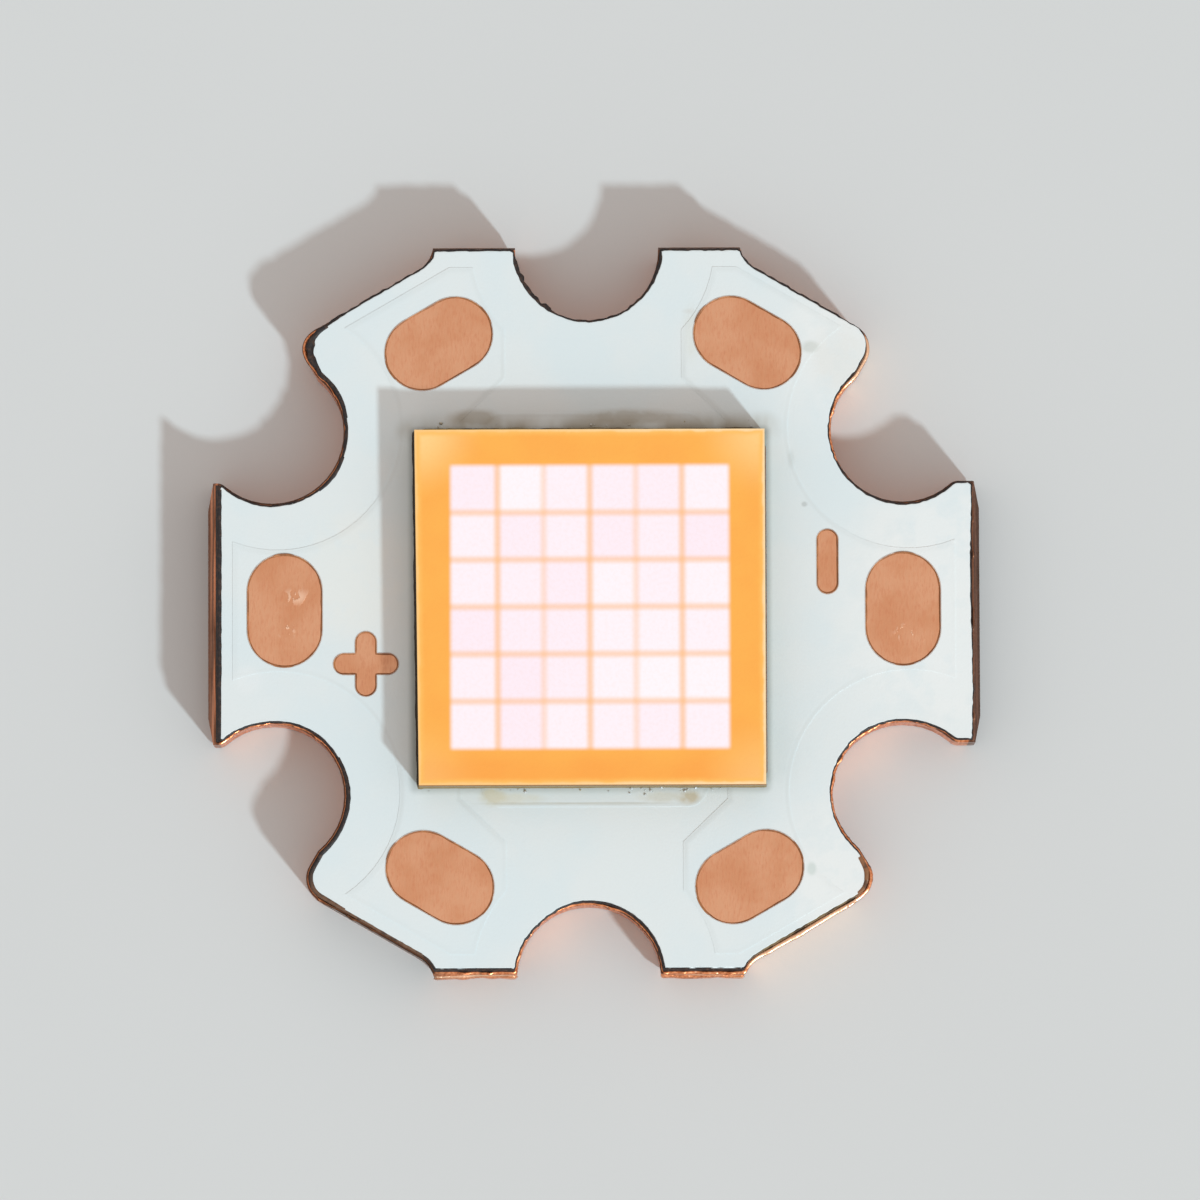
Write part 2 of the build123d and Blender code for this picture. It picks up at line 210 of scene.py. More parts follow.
# painted contact shade: the coat darkened close round the LED's foot, less of it in front
contactShadeShare = coat.times(coat.rise(coat.y, packageLow[1], packageLow[1] + 0.3, coatLook["contactShadeInFront"],
                                  coatLook["contactShadeElsewhere"]),
                        coat.rise(fromPackage, coatLook["contactShadeReach"], 0.0))
coatColour = coat.blend(contactShadeShare, coatColour, tint(coatLook["contactShade"]))
blotches = coat.noise(2.2, 3)
for middle, reach, colour, strength in coatLook["stains"]:
    patch = coat.times(coat.spot(middle, reach), coat.rise(blotches, 0.30, 0.62, 0.4, 2 * strength))
    coatColour = coat.blend(coat.maths("MINIMUM", patch, strength), coatColour, tint(colour))
coatRoughness = coat.rise(coat.noise(5, 3), 0.3, 0.7, coatLook["smoothest"], coatLook["roughest"])
coat.set(Base_Color=coatColour, Specular_IOR_Level=0.25, Roughness=coatRoughness)
# gentle slopes are shaded as if still gentler, since the real coat has no sharp line where they start
facing = coat.facing()
soften = coat.rise(fromPackage, reliefNear, reliefFar, coatLook["softenNear"], coatLook["softenFar"])
soften = coat.times(soften, coat.rise(coat.split(facing)["Z"], 0.85, 0.95))
raised = coat.add("ShaderNodeCombineXYZ", {"Z": soften}).outputs[0]
softer = coat.add("ShaderNodeVectorMath", {0: facing, 1: raised}, operation="ADD").outputs["Vector"]
softer = coat.add("ShaderNodeVectorMath", {0: softer}, operation="NORMALIZE").outputs["Vector"]
coat.bump(coat.noise(coatLook["grainPerMm"], 3), coatLook["grainDepth"], Normal=softer)
coat.wear("solder_mask")

# Dark insulating resin, seen as a black line round the coat
resinLook = {
    "colour": (34, 25, 24), "charred": (74, 52, 40), "lumpsPerMm": 9, "lumpDepth": 0.02,
    # lighter along the front slopes and in one corner, painted light where these edges face the lamp: middle,
    # reach, colour
    "thin": [((5.4, -8.2), 2.4, (132, 112, 82)), ((7.1, -6.9), 0.9, (140, 96, 64)),
             ((-5.9, -8.1), 2.6, (112, 82, 62))],
}
resin = Finish("darkResin")
resinLumps = resin.noise(resinLook["lumpsPerMm"], 4)
charred = resin.rise(resinLumps, 0.45, 0.75)
resinColour = resin.blend(charred, tint(resinLook["colour"]), tint(resinLook["charred"]))
litPatchiness = resin.rise(resin.noise(3.5, 3), 0.36, 0.52, 0.35, 1.0)
# painted light: the dark line made lighter where the front slopes face the lamp
for middle, reach, colour in resinLook["thin"]:
    litResin = resin.times(resin.rise(resin.spot(middle, (reach, reach)), 0.1, 0.4), litPatchiness)
    resinColour = resin.blend(litResin, resinColour, tint(colour))
resin.set(Base_Color=resinColour, Roughness=0.55, Specular_IOR_Level=0.4)
resin.bump(resinLumps, resinLook["lumpDepth"])
resin.wear("dielectric_layer")

# Bare copper foil of the pads and marks: satin, with a rolled grain, a faint tarnish and test scratches
foilLook = {
    "colour": (233, 172, 134), "tarnish": (225, 158, 118), "bright": (250, 206, 176), "dull": (202, 134, 100),
    "grainPerMm": 22, "grainDepth": 0.004, "tarnishPerMm": 1.1, "smoothest": 0.52, "roughest": 0.68,
    "scratches": [((-7.72, 0.36), (0.55, 0.30)), ((-7.95, -0.50), (0.34, 0.34)), ((8.10, -0.62), (0.50, 0.34))],
}
foil = Finish("bareFoil")
foilGrain = foil.noise(foilLook["grainPerMm"], 3, (1, 0.25, 1))
tarnish = foil.rise(foil.noise(foilLook["tarnishPerMm"], 4), 0.35, 0.7)
foilColour = foil.blend(tarnish, tint(foilLook["colour"]), tint(foilLook["tarnish"]))
foilColour = foil.blend(foil.rise(foilGrain, 0.42, 0.78, 0.0, 0.35), foilColour, tint(foilLook["dull"]))
scratched = 0.0
for middle, reach in foilLook["scratches"]:
    scratched = foil.maths("MAXIMUM", scratched, foil.spot(middle, reach))
nicks = foil.times(foil.rise(foil.noise(7, 4, (1, 0.5, 1)), 0.56, 0.60), scratched)
foilColour = foil.blend(nicks, foilColour, tint(foilLook["bright"]))
foilRoughness = foil.rise(foilGrain, 0.3, 0.8, foilLook["smoothest"], foilLook["roughest"])
foil.set(Base_Color=foilColour, Metallic=1.0, Roughness=foilRoughness)
foil.bump(foil.maths("ADD", foilGrain, foil.times(nicks, 2.0)), foilLook["grainDepth"])
foil.wear("anode_foil", "cathode_foil")

# Copper core: routed walls with upright chatter marks, scored slopes, a torn web where the sides snapped
coreLook = {
    "colour": (248, 164, 116), "deep": (206, 118, 74), "pale": (255, 206, 170), "tarnish": (122, 78, 58),
    "chatterPerMm": 14, "tearPerMm": 11, "wallDepth": 0.008, "smoothest": 0.26, "roughest": 0.46,
    # the snapped faces stand out past these distances from the middle
    "sideReach": 9.97, "endReach": 9.43,
    # the scored sides, streaked along the cut: side, dark colour, pale colour
    "scored": [(-1, (104, 68, 50), (208, 134, 98)), (1, (58, 42, 35), (120, 83, 66))], "scoreFoot": 9.65,
    # painted shade on the upper walls that face back and left, between these two heights, darkened as if in
    # shadow
    "upperShade": (48, 36, 30), "upperShadeLow": 1.15, "upperShadeHigh": 1.30, "upperShadeAtBack": 0.92, "upperShadeAtLeft": 0.85,
    # stretches of the rim with a painted highlight where they catch the lamp, or painted shade: middle, reach
    "bright": [((7.0, 6.4), 1.0), ((5.4, -8.2), 2.4)], "highlightShare": 0.8,
    "dull": [((-5.5, -8.3), 2.6)], "shadeSpotColour": (88, 64, 48), "shadeSpotShare": 0.85,
}
core = Finish("routedCopper")
chatter = core.noise(coreLook["chatterPerMm"], 3, (1, 1, 0.06))
torn = core.noise(coreLook["tearPerMm"], 5)
broad = core.noise(1.4, 4)
endStreaks = core.noise(12, 3, (0.05, 1, 1))
onSide = core.maths("GREATER_THAN", core.maths("ABSOLUTE", core.x), coreLook["sideReach"])
onEnd = core.maths("GREATER_THAN", core.maths("ABSOLUTE", core.y), coreLook["endReach"])
coreColour = core.blend(core.rise(chatter, 0.3, 0.7), tint(coreLook["deep"]), tint(coreLook["colour"]))
coreColour = core.blend(core.rise(broad, 0.55, 0.8, 0.0, 0.8), coreColour, tint(coreLook["tarnish"]))
coreColour = core.blend(core.rise(torn, 0.62, 0.72, 0.0, 0.7), coreColour, tint(coreLook["pale"]))
# pale streaks on the snapped front faces: streaks of the tear, with a painted glint where these faces meet the
# lamp's light
palest = core.times(onEnd, core.rise(endStreaks, 0.48, 0.66))
coreColour = core.blend(palest, coreColour, tint(coreLook["pale"]))
toX, toY, toZ = core.split(core.facing())
notUnder = core.rise(toZ, -0.8, -0.5)
# painted highlight on rim stretches that catch the lamp, and painted shade on the lower left slope
for places, colour, strength in ((coreLook["bright"], coreLook["pale"], coreLook["highlightShare"]),
                                 (coreLook["dull"], coreLook["shadeSpotColour"], coreLook["shadeSpotShare"])):
    for middle, reach in places:
        share = core.times(core.rise(core.spot(middle, (reach, reach)), 0.05, 0.4, 0.0, strength), notUnder)
        coreColour = core.blend(share, coreColour, tint(colour))
# painted shade: upper copper walls facing back, and those facing left away from the scored left side, darkened
# as if in shadow
shadedBack = core.rise(toY, 0.10, 0.45, 0.0, coreLook["upperShadeAtBack"])
shadedLeft = core.times(core.rise(toX, -0.10, -0.45, 0.0, coreLook["upperShadeAtLeft"]), core.rise(core.x, -9.6, -9.4))
upperShadeShare = core.times(core.maths("MAXIMUM", shadedBack, shadedLeft),
                   core.rise(core.z, coreLook["upperShadeLow"], coreLook["upperShadeHigh"]))
coreColour = core.blend(upperShadeShare, coreColour, tint(coreLook["upperShade"]))
streaks = core.rise(core.noise(9, 3, (1, 0.04, 1)), 0.38, 0.62)
for side, dark, pale in coreLook["scored"]:
    # the slope starts at its foot, and its last part before the snapped face is darkest, a painted shadow line
    # along the board's outer edge
    foot, face = coreLook["scoreFoot"] * side, coreLook["sideReach"] * side
    sloping = core.maths("MAXIMUM", core.rise(toX, 0.35 * side, 0.60 * side),
                         core.rise(core.x, foot + 0.01 * side, foot + 0.05 * side))
    scored = core.times(sloping, core.rise(core.x, foot - 0.10 * side, foot, 0.0, 0.9))
    palest = core.times(streaks, core.rise(core.x, face, face - 0.07 * side, 0.1, 1.0))
    coreColour = core.blend(scored, coreColour, core.blend(palest, tint(dark), tint(pale)))
coreRoughness = core.rise(broad, 0.3, 0.7, coreLook["smoothest"], coreLook["roughest"])
core.set(Base_Color=coreColour, Metallic=1.0, Roughness=coreRoughness)
tornHeight = core.times(core.maths("ADD", torn, core.times(endStreaks, 2.0)), 2.5)
wallHeight = core.add("ShaderNodeMix", {0: core.maths("MAXIMUM", onSide, onEnd), 2: chatter, 3: tornHeight})
core.bump(wallHeight.outputs[0], coreLook["wallDepth"])
core.wear("copper_core")

# Sawn ceramic, plated strips, solder and dies: mostly inside, seen from low angles and in sections
insideLook = {
    "ceramic": (168, 154, 122), "ceramicDark": (146, 131, 98),
    # the film's light colours the top of the ceramic's wall amber, down to this depth
    "underFilm": (120, 84, 42), "amberDepth": 0.45,
    "plating": (226, 190, 128), "solder": (176, 178, 182),
    "die": (206, 214, 240), "dieEdge": (226, 230, 246), "dieLight": (150, 170, 255), "dieStrength": 0.6,
}
ceramic = Finish("sawnCeramic")
sawLines = ceramic.noise(5, 4, (0.3, 0.3, 4))
ceramicColour = ceramic.blend(ceramic.rise(sawLines, 0.35, 0.7), tint(insideLook["ceramic"]),
                              tint(insideLook["ceramicDark"]))
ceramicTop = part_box("ceramic_substrate")[1][2] / mm
amber = ceramic.rise(ceramic.z, ceramicTop - insideLook["amberDepth"], ceramicTop)
ceramicColour = ceramic.blend(amber, ceramicColour, tint(insideLook["underFilm"]))
ceramic.set(Base_Color=ceramicColour, Roughness=0.5)
ceramic.bump(sawLines, 0.006)
ceramic.wear("ceramic_substrate")

plating = Finish("platedMetal")
platingGrain = plating.noise(18, 3)
plating.set(Base_Color=tint(insideLook["plating"]), Metallic=1.0,
            Roughness=plating.rise(platingGrain, 0.3, 0.7, 0.25, 0.4))
plating.bump(platingGrain, 0.003)
plating.wear("anode_plating", "cathode_plating", "thermal_pad")
plating.wear(*[name for name in nodes if name.startswith("link_strip")])

solder = Finish("reflowedSolder")
solderGrain = solder.noise(12, 4)
solder.set(Base_Color=tint(insideLook["solder"]), Metallic=1.0,
           Roughness=solder.rise(solderGrain, 0.3, 0.7, 0.22, 0.42))
solder.bump(solderGrain, 0.008)
solder.wear("anode_solder", "thermal_solder", "cathode_solder")

die = Finish("litDie")
dieColour = die.blend(die.noise(9, 2), tint(insideLook["die"]), tint(insideLook["dieEdge"]))
die.set(Base_Color=dieColour, Roughness=0.15, Emission_Color=tint(insideLook["dieLight"]),
        Emission_Strength=insideLook["dieStrength"])
die.wear(*[name for name in nodes if name.startswith("die_r")])
print("finishes of the board and the inner pieces done")

# Phosphor film: orange, glowing nearly white over each of the dies, paler along its sawn rim
firstDie = np.array(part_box("die_r1_c1")) / mm
lastDie = np.array(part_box("die_r6_c6")) / mm
dieSide = firstDie[1, 0] - firstDie[0, 0]
filmLook = {
    "border": (254, 180, 82), "deepBorder": (253, 169, 76), "deepFrom": -3.6, "deepTo": -4.3,
    "edge": (254, 192, 98), "edgeReach": 0.22, "rim": (255, 222, 172), "rimReach": 0.10,
    "grains": (236, 170, 90), "wall": (160, 106, 50),
    # how much paler each corner is: left back, right back, left front, right front
    "corner": (255, 214, 142), "cornerReach": 1.9, "cornerShares": (1.0, 0.85, 0.30, 0.45),
    # the dies' glow differs a little from one to the next
    "glow": (254, 241, 249), "coolGlow": (254, 236, 246), "warmGlow": (255, 249, 253), "evenness": 0.15,
    "haloOut": 0.15, "haloIn": 0.02,
    # the gaps between the dies, and how much of the glow the even and the odd ones keep
    "gap": (254, 190, 128), "gapReach": 0.16,
    "columns": 6, "columnGapGlows": (0.62, 0.34), "rows": 6, "rowGapGlows": (0.44, 0.44),
    # how much of the colour is light given out: film, over a die, and for the walls as a share of that
    "litShareFilm": 0.30, "litShareDie": 0.62, "litShareWall": 0.15,
    "sawTaper": 0.10,
}
film = Finish("litPhosphor")


def dieGlow(axis, position, count, gapGlows):
    # along one axis: 1 over a die, falling in the gaps, more so in the odd ones, and to 0 outside the array
    centre = (firstDie[:, axis].sum() + lastDie[:, axis].sum()) / 4
    pitch = abs(lastDie[0, axis] - firstDie[0, axis]) / (count - 1)
    cell = film.maths("ADD", film.maths("DIVIDE", film.maths("SUBTRACT", position, centre), pitch), count / 2)
    gap = film.maths("ROUND", cell)
    toGap = film.times(film.maths("ABSOLUTE", film.maths("SUBTRACT", cell, gap)), pitch)
    gapGlow = film.rise(film.maths("MODULO", gap, 2.0), 0.0, 1.0, *gapGlows)
    within = film.rise(toGap, 0.0, filmLook["gapReach"])
    over = film.maths("ADD", within, film.times(gapGlow, film.maths("SUBTRACT", 1.0, within)))
    # beyond the outer dies' middles the gap at the array's border doesn't count
    reach = film.maths("ABSOLUTE", film.maths("SUBTRACT", position, centre))
    last = (count - 1) / 2 * pitch
    over = film.maths("MAXIMUM", over, film.maths("GREATER_THAN", reach, last))
    outside = last + dieSide / 2
    halo = film.rise(reach, outside + filmLook["haloOut"], outside - filmLook["haloIn"])
    return over, film.maths("FLOOR", cell), halo


glowX, numberX, haloX = dieGlow(0, film.x, filmLook["columns"], filmLook["columnGapGlows"])
glowY, numberY, haloY = dieGlow(1, film.y, filmLook["rows"], filmLook["rowGapGlows"])
array = film.times(haloX, haloY)
glow = film.times(glowX, glowY, array)
dieNumber = film.add("ShaderNodeCombineXYZ", {"X": numberX, "Y": numberY, "Z": 3.0}).outputs[0]
lot = film.add("ShaderNodeTexWhiteNoise", {"Vector": dieNumber}, noise_dimensions="3D").outputs["Value"]
grains = film.noise(11, 4)

# how near the sawn sides a point is, the left side leaning by the saw's taper
lean = film.times(film.y, -filmLook["sawTaper"] / (packageHigh[1] - packageLow[1]))
leftEdge = film.maths("ADD", lean, packageLow[0] + filmLook["sawTaper"] / 2)
toLeft, toRight = film.maths("SUBTRACT", film.x, leftEdge), film.maths("SUBTRACT", packageHigh[0], film.x)
toFront, toBack = film.maths("SUBTRACT", film.y, packageLow[1]), film.maths("SUBTRACT", packageHigh[1], film.y)
toEdge = film.maths("MINIMUM", film.maths("MINIMUM", toLeft, toRight), film.maths("MINIMUM", toFront, toBack))
wavyEdge = film.maths("ADD", toEdge, film.rise(film.noise(2.5, 2), 0.3, 0.7, -0.012, 0.018))

deep = film.maths("ADD", film.rise(film.noise(0.8, 4), 0.35, 0.7, 0.0, 0.5),
                  film.rise(film.y, filmLook["deepFrom"], filmLook["deepTo"], 0.0, 0.7))
deep = film.maths("MINIMUM", deep, 1.0)
filmColour = film.blend(deep, tint(filmLook["border"]), tint(filmLook["deepBorder"]))
filmCorners = [(x, y) for y in (packageHigh[1], packageLow[1]) for x in (packageLow[0], packageHigh[0])]
for corner, strength in zip(filmCorners, filmLook["cornerShares"]):
    nearCorner = film.spot(corner, (filmLook["cornerReach"],) * 2)
    filmColour = film.blend(film.times(nearCorner, strength), filmColour, tint(filmLook["corner"]))
filmColour = film.blend(film.rise(wavyEdge, filmLook["edgeReach"], 0.04), filmColour, tint(filmLook["edge"]))
# the rim is pale from the film's own glow along its edge, palest on the right as a painted highlight where the
# lamp catches it, and deepest on the left
rimShare = film.times(film.rise(film.x, packageLow[0] + 0.3, packageHigh[0] - 0.3, 0.35, 0.95),
                      film.rise(wavyEdge, filmLook["rimReach"], 0.02))
filmColour = film.blend(rimShare, filmColour, tint(filmLook["rim"]))
filmColour = film.blend(array, filmColour, tint(filmLook["gap"]))
glowColour = film.blend(lot, tint(filmLook["coolGlow"]), tint(filmLook["warmGlow"]))
glowColour = film.blend(filmLook["evenness"], glowColour, tint(filmLook["glow"]))
filmColour = film.blend(glow, filmColour, glowColour)
filmColour = film.blend(film.rise(grains, 0.35, 0.75, 0.0, 0.06), filmColour, tint(filmLook["grains"]))
# the sawn walls are browner and hardly glow
onTop = film.rise(film.split(film.facing())["Z"], 0.4, 0.7)
filmColour = film.blend(onTop, tint(filmLook["wall"]), filmColour)
litShare = film.times(film.rise(glow, 0.0, 1.0, filmLook["litShareFilm"], filmLook["litShareDie"]),
                      film.rise(onTop, 0.0, 1.0, filmLook["litShareWall"], 1.0))
black = tint((0, 0, 0))
film.set(Base_Color=film.blend(litShare, filmColour, black), Roughness=0.62, Specular_IOR_Level=0.2,
         Emission_Color=film.blend(litShare, black, filmColour), Emission_Strength=1.0)
film.bump(grains, 0.004)
film.wear("phosphor_layer")
print("lit film done")


def newPiece(name, points, faces, finish, slotName):
    # points in millimetres, faces as rows of corner numbers
    mesh = bpy.data.meshes.new(name)
    mesh.from_pydata((points * mm).tolist(), [], faces.tolist())
    mesh.materials.append(finish.material)
    mesh.shade_smooth()
    piece = bpy.data.objects.new(name, mesh)
    bpy.context.scene.collection.objects.link(piece)
    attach(piece, "root")
    print(name, "has", len(faces), "faces")


def joined(meshes):
    # several meshes, each as its points and faces, made one
    points = [each[0] for each in meshes]
    starts = np.cumsum([0] + [len(each) for each in points[:-1]])
    return np.vstack(points), np.vstack([each[1] + start for each, start in zip(meshes, starts)])


def meshPoints(node):
    # the corners of a node's mesh, in millimetres
    vertices = nodes[node].data.vertices
    places = np.empty(len(vertices) * 3)
    vertices.foreach_get("co", places)
    return places.reshape(-1, 3) / mm


def outerRim(node, height):
    # the outer edge of a node's level face at this height, as a closed path in order
    loops = nodes[node].data.loops
    corners = np.empty(len(loops), dtype=int)
    loops.foreach_get("vertex_index", corners)
    places, merged = np.unique(np.round(meshPoints(node), 4), axis=0, return_inverse=True)
    triangles = merged.reshape(-1)[corners].reshape(-1, 3)
    level = triangles[(np.abs(places[triangles, 2] - height) < 0.002).all(axis=1)]
    start = level.reshape(-1)
    end = np.roll(level, -1, axis=1).reshape(-1)
    total = len(places)
    # an edge of the face is a side of one triangle that no other triangle shares
    single = ~np.isin(start * total + end, end * total + start)
    follow = np.arange(total)
    follow[start[single]] = end[single]
    first = start[single][np.argmax(places[start[single], 0])]
    order = np.array([first])
    # each pass doubles the length of the walk
    while (order == first).sum() < 2:
        order = np.concatenate([order, follow[order]])
        follow = follow[follow]
    again = np.flatnonzero(order == first)[1]
    return places[order[:again], :2]


def evenPath(corners, step):
    # the closed path cut into even steps, turning left as seen from above
    ahead = np.roll(corners, -1, axis=0)
    area = (corners[:, 0] * ahead[:, 1] - ahead[:, 0] * corners[:, 1]).sum() / 2
    if area < 0:
        corners = corners[::-1]
    closed = np.vstack([corners, corners[:1]])
    along = np.concatenate([[0], np.cumsum(np.linalg.norm(np.diff(closed, axis=0), axis=1))])
    stops = np.linspace(0, along[-1], int(along[-1] / step), endpoint=False)
    return np.column_stack([np.interp(stops, along, closed[:, 0]), np.interp(stops, along, closed[:, 1])])


def wobble(count, knots, seed):
    # random values from 0 to 1 at even knots round a closed path, joined by smooth steps
    values = np.random.default_rng(seed).random(knots)
    where = np.arange(count) * knots / count
    low = where.astype(int)
    part = where - low
    part = part * part * (3 - 2 * part)
    return values[low % knots] * (1 - part) + values[(low + 1) % knots] * part


def smoothed(values, span):
    # round a closed path, the mean of each value and its neighbours, span values in all
    half = span // 2
    return np.convolve(np.concatenate([values[-half:], values, values[:half]]), np.ones(span) / span, "valid")


def outward(path):
    # the direction away from the board at each step of a path that turns left
    ahead = np.roll(path, -1, axis=0) - np.roll(path, 1, axis=0)
    ahead /= np.linalg.norm(ahead, axis=1, keepdims=True)
    return np.column_stack([ahead[:, 1], -ahead[:, 0]])


def nearTo(path, places):
    # 1 at the middle of any of these places, falling to 0 beyond its reach
    share = np.zeros(len(path))
    for middle, reach in places:
        share = np.maximum(share, np.exp(-((path - middle) ** 2).sum(axis=1) / reach ** 2))
    return share


def ringSweep(path, out, up):
    # A section carried round a closed path. Corner j of the section at step i lies at
    # path[i] + out[j][i] * outward normal of the path, at the height up[j][i], where a single number
    # stands for the same value at every step.
    steps, corners = len(path), len(out)
    out, up = [np.column_stack([np.broadcast_to(value, steps) for value in side]) for side in (out, up)]
    level = path[:, None, :] + outward(path)[:, None, :] * out[:, :, None]
    points = np.concatenate([level, up[:, :, None]], axis=2).reshape(-1, 3)
    i, j = np.meshgrid(np.arange(steps), np.arange(corners), indexing="ij")
    nextI, nextJ = (i + 1) % steps, (j + 1) % corners
    faces = [i * corners + j, nextI * corners + j, nextI * corners + nextJ, i * corners + nextJ]
    return points, np.stack(faces, axis=-1).reshape(-1, 4)


# Heights of the board's layers, from the CAD model: the coat's top is coatLow where no foil lies under it
coatThickness = 0.06
coreTop, resinTop = [round(corner[2] / mm, 3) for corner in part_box("dielectric_layer")]
foilTop, coatHigh = [round(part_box(node)[1][2] / mm, 3) for node in ("anode_foil", "solder_mask")]
coatLow = round(resinTop + coatThickness, 3)

# The coat's lip, smeared over the edge by the router, with a little ripple
lipLook = {
    "step": 0.035, "seed": 31, "ripple": 0.022, "ripples": 700, "tuck": 0.03, "thick": 0.012, "foot": 1.56,
    # most smear on edges that face back, full only past backFrom; some on the right; none where chipped
    "back": 0.085, "backFrom": 5.0, "elsewhere": 0.3, "right": 0.05, "least": 0.008,
    "chips": [((-7.15, 6.75), 0.8)],
    # stretches where the coat ends further out (+) or further in (-): middle, reach, how much
    "trims": [((-8.6, -2.9), 0.9, 0.065), ((8.1, -2.9), 1.2, 0.048), ((9.69, -1.8), 1.4, 0.045),
              ((9.69, 2.7), 0.8, 0.035), ((-1.4, -7.95), 0.8, 0.045), ((-7.15, -6.75), 1.0, -0.055),
              ((-6.4, -5.0), 1.0, -0.05), ((-6.7, 3.5), 0.5, -0.04), ((-6.65, 5.6), 0.6, -0.04),
              ((-7.33, 6.85), 0.35, -0.06), ((7.0, -6.9), 0.45, -0.045)],
    # the same for the whole left side
    "leftSide": -9.65, "leftTrim": -0.055,
}
rim = evenPath(outerRim("solder_mask", coatLow), lipLook["step"])
count = len(rim)
away = outward(rim)
chip = nearTo(rim, lipLook["chips"])
smearBack = np.clip(away[:, 1], 0, 1) * np.where(rim[:, 1] > lipLook["backFrom"], 1, lipLook["elsewhere"])
smear = lipLook["back"] * smearBack + lipLook["right"] * np.clip(away[:, 0], 0, 1)
smear = (1 - chip) * np.maximum(lipLook["least"], smear)
smear += np.minimum(smear, lipLook["ripple"]) * (wobble(count, lipLook["ripples"], lipLook["seed"]) - 0.5)
trim = np.where(rim[:, 0] < lipLook["leftSide"], lipLook["leftTrim"], 0)
for middle, reach, amount in lipLook["trims"]:
    trim += amount * nearTo(rim, [(middle, reach)])
smear += np.maximum(trim, 0)
tuck, thick, foot = lipLook["tuck"], lipLook["thick"], lipLook["foot"]
out = [-tuck, -tuck, -0.004, smear - thick, smear, smear - thick / 2]
up = [foot, coatLow - 0.005, coatLow + 0.0005, coatLow + 0.0005, coatLow - thick, foot + 0.005]
newPiece("coatLip", *ringSweep(rim, out, up), coat, "white_coat")

# Dark resin under the lip, and crumbs of it over the coat where the coat is bitten back; on edges facing left
# it is widened, partly as painted shade
crumbLook = {
    "seed": 4, "bites": 560, "crumbs": 520, "ragged": 0.03, "chipBite": 0.06, "leastBite": 0.012,
    # how far it shows outside the lip, by the way the edge faces and in some places; the wider share on edges
    # facing left is partly painted shade
    "show": 0.055, "showLeft": 0.085, "showRight": 0.03, "straight": 0.9,
    "showFront": 0.035, "frontSide": -9.2, "showNotch": 0.10, "notchHalf": 3.0, "showChip": 0.05,
    # heights of its section: inner foot, bottom, widest, top of the edge, and under the lip
    "foot": 1.57, "bottom": 1.52, "widest": 1.545, "top": 1.575, "underLip": 1.59,
    "tuck": 0.045, "overCoat": 0.006,
}
bite = chip * (0.3 + 0.7 * wobble(count, crumbLook["bites"], crumbLook["seed"] + 2)) * crumbLook["chipBite"]
bite += np.maximum(-trim, 0) * (0.85 + 0.3 * wobble(count, crumbLook["bites"], crumbLook["seed"] + 4))
bitten = bite > crumbLook["leastBite"]
show = np.where(away[:, 0] < -crumbLook["straight"], crumbLook["showLeft"], crumbLook["show"])
show = np.where(away[:, 0] > crumbLook["straight"], crumbLook["showRight"], show)
inBackNotch = (away[:, 0] > 0.5) & (np.abs(rim[:, 0]) < crumbLook["notchHalf"]) & (rim[:, 1] > 0)
show = np.where(inBackNotch, crumbLook["showNotch"], show)
show = np.where(rim[:, 1] < crumbLook["frontSide"], crumbLook["showFront"], show)
# less of it where the copper has its painted highlight and where the coat ends further in
show = show * (1 - 0.8 * nearTo(rim, coreLook["bright"])) * (1 - np.clip(-8 * trim, 0, 0.6))
show = smoothed(show, 11) + chip * crumbLook["showChip"]
ragged = crumbLook["ragged"] * (1 + 2 * np.maximum(chip, inBackNotch))
edge = smear + show + ragged * (wobble(count, crumbLook["crumbs"], crumbLook["seed"] + 3) - 0.5)
inner = np.where(bitten, -bite, smear - 0.015)
innerUp = np.where(bitten, coatLow + crumbLook["overCoat"], crumbLook["underLip"])
middle = np.where(bitten, 0.5 * edge, 0.5 * inner + 0.3 * edge)
middleUp = innerUp + np.where(bitten, 0.004, -0.002)
edgeUp = np.where(bitten, coatLow, crumbLook["top"])
out = [-crumbLook["tuck"], np.minimum(edge, 0.06), edge, edge - 0.004, middle, inner]
up = [crumbLook["foot"], crumbLook["bottom"], crumbLook["widest"], edgeUp, middleUp, innerUp]
newPiece("rimCrumbs", *ringSweep(rim, out, up), resin, "dielectric")

# Thin copper burr along the top rim of the core's routed walls, least at the back where resin covers it
burrLook = {
    "step": 0.035, "seed": 21, "reach": 0.055, "rise": 0.05, "thin": 0.012, "thicker": 0.03,
    "tufts": 260, "nicks": 1300, "waves": 600, "mostTowards": (0.5, -0.86),
    "curls": [((-7.35, 6.85), 0.40)], "curlOut": 0.09, "curlUp": 0.10,
    "flares": [((5.3, -8.3), 1.8)], "flareOut": 0.05, "brightOut": 0.05,
}
path = evenPath(outerRim("copper_core", coreTop), burrLook["step"])
count = len(path)
bare = np.clip(0.5 + 0.6 * outward(path) @ burrLook["mostTowards"], 0, 1)
burr = np.clip(wobble(count, burrLook["tufts"], burrLook["seed"]) * 1.7 - 0.55, 0.04, 1)
burr = burr * (0.5 + 0.5 * wobble(count, burrLook["nicks"], burrLook["seed"] + 1)) * bare
curl = nearTo(path, burrLook["curls"])
thick = burrLook["thin"] + burrLook["thicker"] * burr
reach = (burrLook["reach"] * burr + burrLook["curlOut"] * curl
         + burrLook["brightOut"] * nearTo(path, coreLook["bright"])
         + burrLook["flareOut"] * nearTo(path, burrLook["flares"]))
height = burrLook["rise"] * burr * wobble(count, burrLook["waves"], burrLook["seed"] + 2)
height += burrLook["curlUp"] * curl
out = [-0.02, 0.045 + 0.4 * reach, 0.048 + reach, 0.040 + 0.8 * reach, -0.02]
up = [coreTop - 0.03, coreTop - 0.06, coreTop - 0.045 + height, coreTop - 0.035 + height + thick,
      coreTop + 0.002]
